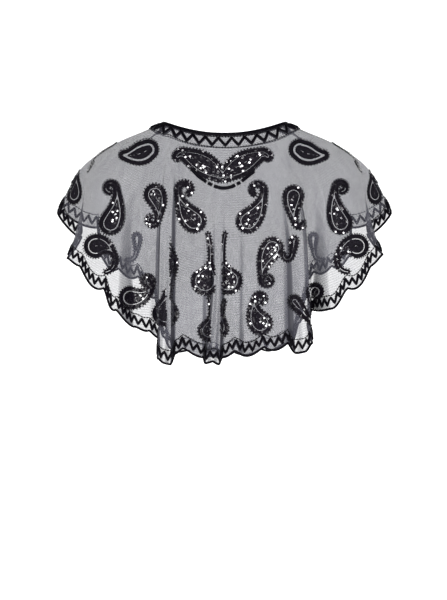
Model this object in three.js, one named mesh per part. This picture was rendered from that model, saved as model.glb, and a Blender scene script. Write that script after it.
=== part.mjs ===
// A short sheer evening cape of black net, worked with bead and sequin paisleys, in the form it has when worn.
// Millimetres, +Z up, the front towards -Y. Left and right are as seen from the front, so right is +X.
// The origin is the middle of the neck opening, level with the two points where it lies on the shoulders.
import * as THREE from "three";

// Driving sizes.
const NECK_HALF_WIDTH = 97;
const WALL = 1.2; // the net with its beadwork
const SEAM_GAP = 0.3;
const BINDING_HEIGHT = 6;
const BINDING_THICKNESS = 2.8;
const EDGING_HEIGHT = 2;
const EDGING_THICKNESS = 1.4;
const EDGING_GAP = 0.7; // more than a seam leaves, because the edge is thicker than the cloth and turns with its folds
const SHARPEST_CORNER = 0.5; // the cosine of half a corner's turn past which a strip round it grows no wider
const SCALLOP_DROP = 7.5; // from the notch between two scallops to the lowest point of one

const FOLD_GROWTH = 1.15; // how a fold deepens towards the hem: 1 is even, more is later

// How finely the cloth is drawn.
const COLUMN_STEP = 14;
const ROWS = 15;

// Level sections of the cloth without its folds. down is the share of the length at the middle of the front, and
// square is the exponent of the superellipse that the section follows: 2 is an ellipse, more is squarer.
const SECTIONS = [
  { down: 0.0, sideX: NECK_HALF_WIDTH, sideZ: 0, frontY: 60, frontZ: -21, backY: 68, backZ: -17, square: 2.0 },
  { down: 0.12, sideX: 128, sideZ: -14, frontY: 76, frontZ: -62, backY: 82, backZ: -56, square: 2.05 },
  { down: 0.28, sideX: 172, sideZ: -33, frontY: 94, frontZ: -118, backY: 97, backZ: -112, square: 2.15 },
  { down: 0.42, sideX: 206, sideZ: -56, frontY: 106, frontZ: -170, backY: 106, backZ: -166, square: 2.3 },
  { down: 0.52, sideX: 220, sideZ: -82, frontY: 112, frontZ: -207, backY: 110, backZ: -204, square: 2.45 },
  { down: 0.66, sideX: 227, sideZ: -130, frontY: 118, frontZ: -258, backY: 113, backZ: -257, square: 2.6 },
  { down: 0.82, sideX: 230, sideZ: -183, frontY: 122, frontZ: -316, backY: 115, backZ: -317, square: 2.7 },
  { down: 1.0, sideX: 236, sideZ: -244, frontY: 126, frontZ: -380, backY: 117, backZ: -382, square: 2.8 },
  { down: 1.15, sideX: 240, sideZ: -295, frontY: 129, frontZ: -433, backY: 119, backZ: -437, square: 2.8 },
];

// Where a line that runs down the cloth lies: so many degrees in from a side, or at one X under the neck
// and another at the hem, with a bow to the right of so much halfway down.
const leftSide = (degrees) => ({ angle: 180 - degrees });
const rightSide = (degrees) => ({ angle: degrees });
const across = (neckX, hemX, bow = 0) => ({ neckX, hemX, bow });

// The lines of the folds, from the wing over the left edge of the view to the one over the right.
// out is how far the line stands out of the section at the hem, from is the share of the length where it starts to,
// hemZ is the height of the hem, and scallop is the number of scallops from the first line, where it is settled.
const FRONT_LINES = [
  { name: "left wing crest", place: leftSide(-12), out: 46, from: 0.28, hemZ: -136, scallop: 0 },
  { name: "left wing trough", place: leftSide(1), out: 0, from: 0.4, hemZ: -183, scallop: 1 },
  { name: "left arm edge", place: leftSide(13), out: 20, from: 0.6, hemZ: -212 },
  { name: "left arm front", place: across(-96, -226), out: 8, from: 0.6, hemZ: -230, scallop: 2 },
  { name: "left arm middle", place: across(-93, -189), out: 8, from: 0.5, hemZ: -266, scallop: 3 },
  { name: "left arm inner fold", place: across(-90, -168), out: 10, from: 0.4, hemZ: -300, scallop: 4 },
  { name: "left recess", place: across(-88, -155), out: -34, from: 0.35, hemZ: -320 },
  { name: "left recess floor", place: across(-87, -128), out: -38, from: 0.35, hemZ: -333, scallop: 5 },
  { name: "left flute outer root", place: across(-86, -108), out: -26, from: 0.3, hemZ: -338 },
  { name: "left flute outer crest", place: across(-85, -101), out: 20, from: 0.08, hemZ: -376, scallop: 6 },
  { name: "left flute crest", place: across(-82, -92), out: 27, from: 0.08, hemZ: -378 },
  { name: "left flute inner crest", place: across(-78, -83), out: 20, from: 0.08, hemZ: -378 },
  { name: "left flute inner root", place: across(-75, -78), out: -2, from: 0.08, hemZ: -364 },
  { name: "left front notch", place: across(-60, -65), out: -4, from: 0.3, hemZ: -360, scallop: 7 },
  { name: "middle flute left root", place: across(-24, -34, 13), out: -2, from: 0.3, hemZ: -367 },
  { name: "middle flute left crest", place: across(-18, -28, 13), out: 18, from: 0.32, hemZ: -379 },
  { name: "middle flute crest", place: across(-12, -18, 9), out: 25, from: 0.32, hemZ: -380, scallop: 8 },
  { name: "middle flute right crest", place: across(-7, -9, 6), out: 18, from: 0.32, hemZ: -380 },
  { name: "middle flute right root", place: across(-4, -4, 6), out: -2, from: 0.3, hemZ: -368 },
  { name: "middle notch", place: across(12, 16), out: 3, from: 0.3, hemZ: -364, scallop: 9 },
  { name: "soft crease", place: across(30, 33, 9), out: -8, from: 0.35, hemZ: -365 },
  { name: "right front notch", place: across(46, 62), out: 4, from: 0.3, hemZ: -358, scallop: 10 },
  { name: "right flute inner root", place: across(56, 100), out: -3, from: 0.3, hemZ: -352, scallop: 11 },
  { name: "right flute inner crest", place: across(60, 108), out: 21, from: 0.25, hemZ: -360 },
  { name: "right flute crest", place: across(64, 120), out: 29, from: 0.25, hemZ: -359 },
  { name: "right flute outer crest", place: across(68, 132), out: 21, from: 0.25, hemZ: -352, scallop: 12 },
  { name: "right flute outer root", place: across(72, 139), out: -26, from: 0.3, hemZ: -316 },
  { name: "right recess", place: across(76, 151), out: -36, from: 0.35, hemZ: -300, scallop: 13 },
  { name: "right arm inner fold", place: across(86, 166), out: 8, from: 0.4, hemZ: -291 },
  { name: "right arm middle", place: across(92, 193), out: 8, from: 0.5, hemZ: -266, scallop: 14 },
  { name: "right arm front", place: across(96, 228), out: 8, from: 0.6, hemZ: -230, scallop: 15 },
  { name: "right arm edge", place: rightSide(13), out: 22, from: 0.6, hemZ: -206 },
  { name: "right wing trough", place: rightSide(1), out: 0, from: 0.4, hemZ: -179, scallop: 16 },
  { name: "right wing crest", place: rightSide(-12), out: 46, from: 0.28, hemZ: -136, scallop: 17 },
];
const BACK_LINES = [
  { name: "left wing crest", place: leftSide(12), out: 46, from: 0.28, hemZ: -136, scallop: 0 },
  { name: "left wing trough", place: leftSide(26), out: -4, from: 0.4, hemZ: -166, scallop: 1 },
  { name: "left arm back", place: across(-93, -203), out: 8, from: 0.5, hemZ: -212, scallop: 3 },
  { name: "left arm inner fold", place: across(-90, -178), out: 10, from: 0.4, hemZ: -232 },
  { name: "left recess", place: across(-87, -152), out: -22, from: 0.35, hemZ: -246, scallop: 5 },
  { name: "left flute outer root", place: across(-85, -118), out: -10, from: 0.3, hemZ: -275 },
  { name: "left flute outer crest", place: across(-82, -107), out: 14, from: 0.2, hemZ: -318 },
  { name: "left flute crest", place: across(-79, -98), out: 19, from: 0.2, hemZ: -338, scallop: 7 },
  { name: "left flute inner crest", place: across(-76, -89), out: 14, from: 0.2, hemZ: -350 },
  { name: "left flute inner root", place: across(-72, -80), out: -2, from: 0.2, hemZ: -356 },
  { name: "middle flute left root", place: across(-26, -38), out: -3, from: 0.3, hemZ: -363 },
  { name: "middle flute left crest", place: across(-19, -28), out: 13, from: 0.32, hemZ: -370 },
  { name: "middle flute crest", place: across(-12, -18), out: 19, from: 0.32, hemZ: -372, scallop: 9 },
  { name: "middle flute right crest", place: across(-6, -8), out: 13, from: 0.32, hemZ: -372 },
  { name: "middle flute right root", place: across(0, 2), out: -3, from: 0.3, hemZ: -364 },
  { name: "soft crease", place: across(34, 48), out: -8, from: 0.35, hemZ: -358, scallop: 11 },
  { name: "right flute inner root", place: across(56, 98), out: 0, from: 0.3, hemZ: -350 },
  { name: "right flute inner crest", place: across(61, 110), out: 15, from: 0.25, hemZ: -340 },
  { name: "right flute crest", place: across(65, 121), out: 21, from: 0.25, hemZ: -318, scallop: 13 },
  { name: "right flute outer crest", place: across(69, 132), out: 15, from: 0.25, hemZ: -280 },
  { name: "right flute outer root", place: across(74, 146), out: -16, from: 0.3, hemZ: -244 },
  { name: "right recess", place: across(79, 158), out: -22, from: 0.35, hemZ: -238, scallop: 15 },
  { name: "right arm inner fold", place: across(88, 180), out: 8, from: 0.4, hemZ: -228 },
  { name: "right arm back", place: across(93, 205), out: 8, from: 0.5, hemZ: -212, scallop: 17 },
  { name: "right wing trough", place: rightSide(26), out: -4, from: 0.4, hemZ: -166, scallop: 19 },
  { name: "right wing crest", place: rightSide(12), out: 46, from: 0.28, hemZ: -136, scallop: 20 },
];

const RADIANS = Math.PI / 180;
const mix = (a, b, share) => a + (b - a) * share;
const clamp = (value, low, high) => Math.min(Math.max(value, low), high);
const smooth = (share) => share * share * (3 - 2 * share);

// One column of a table of sections at a place between its rows, on a Catmull-Rom curve through them.
function between(rows, key, column, place) {
  const last = rows.length - 1;
  let i = 0;
  while (i < last - 1 && rows[i + 1][key] < place) i++;
  const slope = (j) => {
    const a = rows[Math.max(j - 1, 0)];
    const b = rows[Math.min(j + 1, last)];
    return (b[column] - a[column]) / (b[key] - a[key]);
  };
  const width = rows[i + 1][key] - rows[i][key];
  const t = (place - rows[i][key]) / width;
  const start = rows[i][column] * (1 + 2 * t) * (1 - t) ** 2 + slope(i) * width * t * (1 - t) ** 2;
  return start + rows[i + 1][column] * t * t * (3 - 2 * t) + slope(i + 1) * width * t * t * (t - 1);
}

function sectionAt(down) {
  const section = {};
  for (const column of Object.keys(SECTIONS[0])) section[column] = between(SECTIONS, "down", column, down);
  return section;
}

// The angle of a line on a section, in degrees from the right side round to the left.
function angleOf(line, section) {
  const { angle, neckX, hemX, bow } = line.place;
  if (angle !== undefined) return angle;
  const widest = SECTIONS[SECTIONS.length - 2].sideX;
  const straight = mix(neckX, hemX, (section.sideX - NECK_HALF_WIDTH) / (widest - NECK_HALF_WIDTH));
  const x = straight + bow * 4 * section.down * (1 - section.down);
  const share = clamp(Math.abs(x) / section.sideX, 0, 1);
  return Math.acos(Math.sign(x) * share ** (section.square / 2)) / RADIANS;
}

// A panel turns a place along its lines, such as 3.5 for halfway from line 3 to line 4, into points of the cloth.
class Panel {
  constructor(lines, behind) {
    this.lines = lines;
    this.behind = behind;
    this.lineEnds = lines.map((line, i) => this.hemDown(i));
    this.hemTable = this.measureHem();
  }

  // A value of the two lines beside a place, mixed; it is level where it meets each line.
  mixed(along, value, easing = smooth) {
    const i = clamp(Math.floor(along), 0, this.lines.length - 2);
    return mix(value(this.lines[i], i), value(this.lines[i + 1], i + 1), easing(along - i));
  }

  // The section there, the angle on it, and whether the point is on its back half.
  place(along, down) {
    const section = sectionAt(down);
    const degrees = this.mixed(along, (line) => angleOf(line, section), (share) => share);
    const cos = Math.cos(degrees * RADIANS);
    const sin = Math.sin(degrees * RADIANS);
    return { section, cos, sin, back: this.behind ? sin >= 0 : sin < 0 };
  }

  height(along, down) {
    const { section, sin, back } = this.place(along, down);
    return mix(section.sideZ, back ? section.backZ : section.frontZ, sin * sin);
  }

  // The point that lies so far along and down the cloth.
  point(along, down) {
    const { section, cos, sin, back } = this.place(along, down);
    const out = this.mixed(along, (line, i) => {
      const share = clamp((down - line.from) / (this.lineEnds[i] - line.from), 0, 1.1);
      return line.out * share ** FOLD_GROWTH;
    });
    const depth = (back ? 1 : -1) * (back ? section.backY : section.frontY);
    const power = 2 / section.square;
    const plan = new THREE.Vector2(
      section.sideX * Math.sign(cos) * Math.abs(cos) ** power,
      depth * Math.abs(sin) ** power,
    );
    const outward = new THREE.Vector2(
      (Math.sign(cos) * Math.abs(cos) ** (2 - power)) / section.sideX,
      Math.abs(sin) ** (2 - power) / depth,
    );
    plan.addScaledVector(outward.normalize(), out);
    return new THREE.Vector3(plan.x, plan.y, this.height(along, down));
  }

  // The share of the length at which the cloth reaches the height of the hem there.
  hemDown(along) {
    const hemZ = this.mixed(along, (line) => line.hemZ);
    let low = 0.3;
    let high = 1.14;
    for (let step = 0; step < 24; step++) {
      const middle = (low + high) / 2;
      if (this.height(along, middle) > hemZ) low = middle;
      else high = middle;
    }
    return low;
  }

  // Length along the hem, and the number of scallops, at close places from the first line to the last.
  measureHem() {
    const PLACES_PER_LINE = 12;
    const table = [];
    let length = 0;
    let before = null;
    for (let n = 0; n <= (this.lines.length - 1) * PLACES_PER_LINE; n++) {
      const along = n / PLACES_PER_LINE;
      const here = this.point(along, this.hemDown(along));
      if (before) length += here.distanceTo(before);
      table.push({ along, length });
      before = here;
    }
    const settled = table.filter(
      (row) => Number.isInteger(row.along) && this.lines[row.along].scallop !== undefined,
    );
    for (const row of table) {
      let i = 0;
      while (i < settled.length - 2 && settled[i + 1].along <= row.along) i++;
      const [a, b] = [settled[i], settled[i + 1]];
      const counts = [this.lines[a.along].scallop, this.lines[b.along].scallop];
      row.scallops = mix(...counts, (row.length - a.length) / (b.length - a.length));
    }
    return table;
  }

  atHem(along, column) {
    const table = this.hemTable;
    const step = table[1].along;
    const i = clamp(Math.floor(along / step), 0, table.length - 2);
    return mix(table[i][column], table[i + 1][column], (along - table[i].along) / step);
  }

  // The share of the length that lies some millimetres of cloth below another.
  below(along, down, length) {
    const STEP = 0.01;
    return down + (length * STEP) / this.point(along, down).distanceTo(this.point(along, down + STEP));
  }

  // The cloth's lower edge with its scallops.
  edgeDown(along) {
    const t = this.atHem(along, "scallops") % 1;
    return this.below(along, this.hemDown(along), SCALLOP_DROP * 4 * t * (1 - t));
  }

  // Places along the panel: every line, and even steps between two lines.
  columns(step) {
    const places = [];
    for (let i = 0; i < this.lines.length - 1; i++) {
      const length = this.atHem(i + 1, "length") - this.atHem(i, "length");
      const count = Math.max(1, Math.round(length / step));
      for (let n = 0; n < count; n++) places.push(i + n / count);
    }
    places.push(this.lines.length - 1);
    return places;
  }

  // The direction out of the cloth.
  normal(along, down) {
    const ALONG_STEP = 0.02;
    const DOWN_STEP = 0.004;
    const last = this.lines.length - 1;
    const a = clamp(along - ALONG_STEP, 0, last);
    const b = clamp(along + ALONG_STEP, 0, last);
    const across = this.point(b, down).sub(this.point(a, down));
    const downward = this.point(along, down + DOWN_STEP).sub(this.point(along, down - DOWN_STEP));
    const normal = downward.cross(across).normalize();
    return this.behind ? normal.negate() : normal;
  }
}

const front = new Panel(FRONT_LINES, false);
const back = new Panel(BACK_LINES, true);

// A closed wall from a grid of rows of points with normals: each point is moved half a thickness to either side.
// A ring's last column meets its first.
function wallGeometry(grid, thickness, ring, facesOut) {
  const rows = grid.length;
  const columns = grid[0].length;
  const positions = [];
  for (const side of [0.5, -0.5]) {
    for (const row of grid) {
      for (const { point, normal } of row) {
        positions.push(...point.clone().addScaledVector(normal, side * thickness).toArray());
      }
    }
  }
  const at = (side, row, column) => (side * rows + row) * columns + (column % columns);
  const indices = [];
  const quad = (a, b, c, d) => {
    if (facesOut) indices.push(a, b, c, a, c, d);
    else indices.push(a, c, b, a, d, c);
  };
  const spans = ring ? columns : columns - 1;
  for (let c = 0; c < spans; c++) {
    for (let r = 0; r < rows - 1; r++) {
      quad(at(0, r, c), at(0, r + 1, c), at(0, r + 1, c + 1), at(0, r, c + 1));
      quad(at(1, r, c), at(1, r, c + 1), at(1, r + 1, c + 1), at(1, r + 1, c));
    }
    quad(at(0, 0, c), at(0, 0, c + 1), at(1, 0, c + 1), at(1, 0, c));
    quad(at(0, rows - 1, c), at(1, rows - 1, c), at(1, rows - 1, c + 1), at(0, rows - 1, c + 1));
  }
  if (!ring) {
    for (let r = 0; r < rows - 1; r++) {
      quad(at(0, r, 0), at(1, r, 0), at(1, r + 1, 0), at(0, r + 1, 0));
      const end = columns - 1;
      quad(at(0, r, end), at(0, r + 1, end), at(1, r + 1, end), at(1, r, end));
    }
  }
  const geometry = new THREE.BufferGeometry();
  geometry.setAttribute("position", new THREE.Float32BufferAttribute(positions, 3));
  geometry.setIndex(indices);
  geometry.computeVertexNormals();
  return geometry;
}

// The panel's cloth from under the binding to the edging, drawn in a little at its two side seams.
function panelGrid(panel) {
  const places = panel.columns(COLUMN_STEP);
  const grid = [];
  for (let r = 0; r <= ROWS; r++) {
    const row = places.map((along) => {
      const top = panel.below(along, 0, BINDING_HEIGHT + SEAM_GAP);
      const down = mix(top, panel.edgeDown(along), r / ROWS);
      return { point: panel.point(along, down), normal: panel.normal(along, down) };
    });
    const ends = [row[0], row[row.length - 1]];
    const inner = [row[1].point.clone(), row[row.length - 2].point.clone()];
    ends.forEach((end, i) => end.point.addScaledVector(inner[i].sub(end.point).normalize(), SEAM_GAP / 2));
    grid.push(row);
  }
  return grid;
}

// Stops all round the cape, over the front from left to right and over the back from right to left.
function roundStops(step) {
  const stops = [];
  for (const [panel, places] of [[front, front.columns(step)], [back, back.columns(step).reverse()]]) {
    for (const along of places.slice(0, -1)) stops.push({ panel, along });
  }
  return stops;
}

// A strip all round that starts at the neck line and is so high down the cloth.
function neckStrip(step, height) {
  return [0, height].map((drop) =>
    roundStops(step).map(({ panel, along }) => {
      const down = panel.below(along, 0, drop);
      return { point: panel.point(along, down), normal: panel.normal(along, down) };
    }),
  );
}

// A strip all round below the scallops: its two edges run beside the cloth's, square to it at every stop.
function hemStrip(step, gap, height) {
  const edge = roundStops(step).map(({ panel, along }) => {
    const down = panel.edgeDown(along);
    return { point: panel.point(along, down), normal: panel.normal(along, down) };
  });
  const beside = edge.map(({ point, normal }, i) => {
    const before = point.clone().sub(edge.at(i - 1).point).normalize();
    const after = edge[(i + 1) % edge.length].point.clone().sub(point).normalize();
    const along = before.clone().add(after).normalize();
    const downward = normal.clone().cross(along).normalize();
    if (downward.z > 0) downward.negate();
    return downward.multiplyScalar(1 / Math.max(along.dot(after), SHARPEST_CORNER));
  });
  return [gap, gap + height].map((drop) =>
    edge.map(({ point, normal }, i) => ({ point: point.clone().addScaledVector(beside[i], drop), normal })),
  );
}

const cloth = new THREE.MeshStandardMaterial({ color: 0x8c8e92, roughness: 0.8, metalness: 0 });
const satin = new THREE.MeshStandardMaterial({ color: 0x17171a, roughness: 0.55, metalness: 0 });

function named(name, geometry, material) {
  const mesh = new THREE.Mesh(geometry, material);
  mesh.name = name;
  return mesh;
}

const cape = new THREE.Group();
cape.add(named("front_panel", wallGeometry(panelGrid(front), WALL, false, true), cloth));
cape.add(named("back_panel", wallGeometry(panelGrid(back), WALL, false, false), cloth));

// The binding folded over the neck edge.
const binding = wallGeometry(neckStrip(2 * COLUMN_STEP, BINDING_HEIGHT), BINDING_THICKNESS, true, true);
cape.add(named("neck_binding", binding, satin));

// The rolled edge below the scallops.
const edging = wallGeometry(hemStrip(COLUMN_STEP, EDGING_GAP, EDGING_HEIGHT), EDGING_THICKNESS, true, true);
cape.add(named("hem_edging", edging, satin));

export default cape;
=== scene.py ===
"""A short sheer evening cape of black net, in the form that it has when worn.

It is worked with paisleys of beads and sequins. Metres, +Z up, the front towards -Y. Left and right are as
seen from the front, so right is +X.
"""

import math

import bpy
import numpy as np
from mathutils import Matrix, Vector
from mathutils.bvhtree import BVHTree


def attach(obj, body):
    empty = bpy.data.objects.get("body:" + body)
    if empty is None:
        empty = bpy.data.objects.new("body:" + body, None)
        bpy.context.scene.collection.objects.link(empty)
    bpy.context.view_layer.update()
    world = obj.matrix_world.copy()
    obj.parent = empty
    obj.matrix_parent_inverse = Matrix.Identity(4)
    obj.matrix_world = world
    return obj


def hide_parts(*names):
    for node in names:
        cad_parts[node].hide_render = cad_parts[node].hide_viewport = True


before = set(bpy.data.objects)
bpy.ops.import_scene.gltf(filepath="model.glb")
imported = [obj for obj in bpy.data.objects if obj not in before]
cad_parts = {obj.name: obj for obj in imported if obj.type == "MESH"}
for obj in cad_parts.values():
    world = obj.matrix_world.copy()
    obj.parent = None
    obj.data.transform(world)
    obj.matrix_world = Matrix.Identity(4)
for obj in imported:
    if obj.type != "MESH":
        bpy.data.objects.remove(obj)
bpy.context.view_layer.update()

# The view: level, from well in front, so far off that the near and far sides differ little in size.
EYE = (-0.0016, -4.5, -0.2866)
SENSOR = 36.0  # millimetres across the picture's long side
SEEN_HEIGHT = 0.966  # what the picture's long side takes in at the middle of the cape

camera_data = bpy.data.cameras.new("camera")
camera_data.sensor_width = SENSOR
camera_data.lens = SENSOR * -EYE[1] / SEEN_HEIGHT
camera = bpy.data.objects.new("camera", camera_data)
camera.location = EYE
camera.rotation_euler = (math.pi / 2, 0, 0)
bpy.context.scene.collection.objects.link(camera)
bpy.context.scene.camera = camera

# The cloth: a front and a back of fine black net that meet at the sides, under the wings. It falls from the
# neck in a few deep flutes that grow towards the scalloped hem, with soft creases between them. The tables
# here and below are in millimetres, and MM turns them into metres.
MM = 0.001
NECK_HALF_WIDTH = 97
SCALLOP_DROP = 7.5  # from the notch between two scallops to the lowest point of one
FOLD_GROWTH = 1.15  # how a fold deepens towards the hem: 1 is even, more is later
COLUMN_STEP = 4.5
ROW_COUNT = 84
CREASE_FADE = 0.12  # the share of the length over which a crease comes and goes

# Level sections of the cloth without its folds. down is the share of the length at the middle of the front,
# and square is the exponent of the superellipse that the section follows: 2 is an ellipse, more is squarer.
SECTION_COLUMNS = ("down", "side_x", "side_z", "front_y", "front_z", "back_y", "back_z", "square")
SECTIONS = np.array([
    (0.00, 97, 0, 60, -21, 68, -13, 2.0),
    (0.12, 128, -14, 76, -62, 82, -53, 2.05),
    (0.28, 172, -33, 94, -118, 97, -110, 2.15),
    (0.42, 206, -56, 106, -170, 106, -166, 2.3),
    (0.52, 220, -82, 112, -207, 110, -204, 2.45),
    (0.66, 227, -130, 118, -258, 113, -257, 2.6),
    (0.82, 230, -183, 122, -316, 115, -317, 2.7),
    (1.00, 236, -244, 126, -380, 117, -382, 2.8),
    (1.15, 240, -295, 129, -433, 119, -437, 2.8),
])
WIDEST = SECTIONS[-2, 1]


def left_side(degrees):
    """A line that lies so many degrees in from the left side."""
    return (180 - degrees, 0, 0, 0)


def right_side(degrees):
    """A line that lies so many degrees in from the right side."""
    return (degrees, 0, 0, 0)


def across(neck_x, hem_x, bow=0):
    """A line from one X under the neck to another at the hem, with a bow to the right halfway down."""
    return (math.nan, neck_x, hem_x, bow)


# The folds' lines, from the wing over the left edge of the view to the one over the right: name, place, how
# far the line stands out of the section at the hem, the share of the length where it starts to, the height of
# the hem, and the number of scallops from the first line, where it is settled.
FRONT_LINES = [
    ("left wing crest", left_side(-12), 46, 0.28, -136, 0),
    ("left wing trough", left_side(1), 0, 0.4, -183, 1),
    ("left arm edge", left_side(13), 20, 0.6, -212, None),
    ("left arm front", across(-96, -226), 8, 0.6, -230, 2),
    ("left arm middle", across(-93, -189), 8, 0.5, -266, 3),
    ("left arm inner fold", across(-90, -168), 10, 0.4, -300, 4),
    ("left recess", across(-88, -155), -34, 0.35, -320, None),
    ("left recess floor", across(-87, -128), -38, 0.35, -333, 5),
    ("left flute outer root", across(-86, -108), -26, 0.3, -338, None),
    ("left flute outer crest", across(-85, -101), 20, 0.08, -376, 6),
    ("left flute crest", across(-82, -92), 27, 0.08, -378, None),
    ("left flute inner crest", across(-78, -83), 20, 0.08, -378, None),
    ("left flute inner root", across(-75, -78), -2, 0.08, -364, None),
    ("left front notch", across(-60, -65), -4, 0.3, -360, 7),
    ("middle flute left root", across(-24, -34, 13), -2, 0.3, -367, None),
    ("middle flute left crest", across(-18, -28, 13), 18, 0.32, -379, None),
    ("middle flute crest", across(-12, -18, 9), 25, 0.32, -380, 8),
    ("middle flute right crest", across(-7, -9, 6), 18, 0.32, -380, None),
    ("middle flute right root", across(-4, -4, 6), -2, 0.3, -368, None),
    ("middle notch", across(12, 16), 3, 0.3, -364, 9),
    ("soft crease", across(30, 33, 9), -8, 0.35, -365, None),
    ("right front notch", across(46, 62), 4, 0.3, -358, 10),
    ("right flute inner root", across(56, 100), -3, 0.3, -352, 11),
    ("right flute inner crest", across(60, 108), 21, 0.25, -360, None),
    ("right flute crest", across(64, 120), 29, 0.25, -359, None),
    ("right flute outer crest", across(68, 132), 21, 0.25, -352, 12),
    ("right flute outer root", across(72, 139), -26, 0.3, -316, None),
    ("right recess", across(76, 151), -36, 0.35, -300, 13),
    ("right arm inner fold", across(86, 166), 8, 0.4, -291, None),
    ("right arm middle", across(92, 193), 8, 0.5, -266, 14),
    ("right arm front", across(96, 228), 8, 0.6, -230, 15),
    ("right arm edge", right_side(13), 22, 0.6, -206, None),
    ("right wing trough", right_side(1), 0, 0.4, -179, 16),
    ("right wing crest", right_side(-12), 46, 0.28, -136, 17),
]
BACK_LINES = [
    ("left wing crest", left_side(12), 46, 0.28, -136, 0),
    ("left wing trough", left_side(26), -4, 0.4, -166, 1),
    ("left arm back", across(-93, -203), 8, 0.5, -212, 3),
    ("left arm inner fold", across(-90, -178), 10, 0.4, -232, None),
    ("left recess", across(-87, -152), -22, 0.35, -246, 5),
    ("left flute outer root", across(-85, -118), -10, 0.3, -275, None),
    ("left flute outer crest", across(-82, -107), 14, 0.2, -318, None),
    ("left flute crest", across(-79, -98), 19, 0.2, -346, 7),
    ("left flute inner crest", across(-76, -89), 14, 0.2, -358, None),
    ("left flute inner root", across(-72, -80), -2, 0.2, -364, None),
    ("middle flute left root", across(-26, -38), -3, 0.3, -371, None),
    ("middle flute left crest", across(-19, -28), 13, 0.32, -374, None),
    ("middle flute crest", across(-12, -18), 19, 0.32, -375, 9),
    ("middle flute right crest", across(-6, -8), 13, 0.32, -375, None),
    ("middle flute right root", across(0, 2), -3, 0.3, -371, None),
    ("soft crease", across(34, 48), -8, 0.35, -366, 10.7),
    ("right flute inner root", across(56, 98), 0, 0.3, -356, 12),
    ("right flute inner crest", across(61, 110), 15, 0.25, -346, None),
    ("right flute crest", across(65, 121), 21, 0.25, -322, 13),
    ("right flute outer crest", across(69, 132), 15, 0.25, -280, None),
    ("right flute outer root", across(74, 146), -16, 0.3, -244, None),
    ("right recess", across(79, 158), -22, 0.35, -238, 15),
    ("right arm inner fold", across(88, 180), 8, 0.4, -228, None),
    ("right arm back", across(93, 205), 8, 0.5, -212, 17),
    ("right wing trough", right_side(26), -4, 0.4, -166, 19),
    ("right wing crest", right_side(12), 46, 0.28, -136, 20),
]

# Soft troughs and ridges between the flutes: X at the neck and at the hem, the shares of the length where
# they start and end, how wide they are, and how far they stand out, with a trough below 0.
FRONT_CREASES = [
    (-70, -84, 0.06, 0.9, 3.0, 2.2),
    (-58, -74, 0.10, 0.75, 4.5, -1.8),
    (-47, -58, 0.30, 1.2, 5.5, 2.0),
    (-36, -44, 0.15, 0.7, 5.0, -1.4),
    (24, 30, 0.25, 1.2, 3.5, -2.4),
    (18, 22, 0.45, 1.2, 4.5, 1.8),
    (43, 52, 0.2, 0.85, 6.0, -2.0),
    (52, 72, 0.12, 0.6, 4.0, 1.5),
    (60, 90, 0.3, 0.95, 5.0, 2.2),
    (74, 128, 0.1, 0.5, 4.0, -2.0),
    (80, 146, 0.12, 0.6, 5.0, 1.8),
    (-84, -150, 0.1, 0.6, 5.0, -2.0),
    (-80, -132, 0.15, 0.7, 4.5, 1.8),
    (88, 178, 0.2, 0.8, 6.0, -2.2),
    (-90, -186, 0.25, 0.8, 6.0, 1.8),
]
BACK_CREASES = [
    (-64, -80, 0.08, 0.8, 4.0, -2.0),
    (-50, -62, 0.2, 1.2, 5.5, 2.2),
    (-38, -50, 0.35, 1.2, 4.0, -2.0),
    (22, 28, 0.2, 0.9, 5.0, 2.0),
    (46, 66, 0.15, 1.2, 5.0, -2.2),
    (54, 84, 0.3, 0.9, 4.0, 1.8),
    (82, 140, 0.1, 0.6, 5.0, -1.8),
    (-86, -148, 0.12, 0.7, 5.0, 2.0),
]


def smooth(share):
    return share * share * (3 - 2 * share)


def length_along(points):
    """Length along a run of points, at each of them."""
    return np.concatenate([[0], np.cumsum(np.linalg.norm(np.diff(points, axis=0), axis=1))])


def section_at(down):
    """The level section there, each column on a Catmull-Rom curve through the table."""
    key = SECTIONS[:, 0]
    last = len(key) - 1
    before = np.maximum(np.arange(last + 1) - 1, 0)
    after = np.minimum(np.arange(last + 1) + 1, last)
    slopes = (SECTIONS[after] - SECTIONS[before]) / (key[after] - key[before])[:, None]
    i = np.clip(np.searchsorted(key, down, side="right") - 1, 0, last - 1)
    width = (key[i + 1] - key[i])[..., None]
    t = (down - key[i])[..., None] / width
    rows = SECTIONS[i] * (1 + 2 * t) * (1 - t) ** 2 + slopes[i] * width * t * (1 - t) ** 2
    rows = rows + SECTIONS[i + 1] * t * t * (3 - 2 * t) + slopes[i + 1] * width * t * t * (t - 1)
    return {name: rows[..., n] for n, name in enumerate(SECTION_COLUMNS)}


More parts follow.
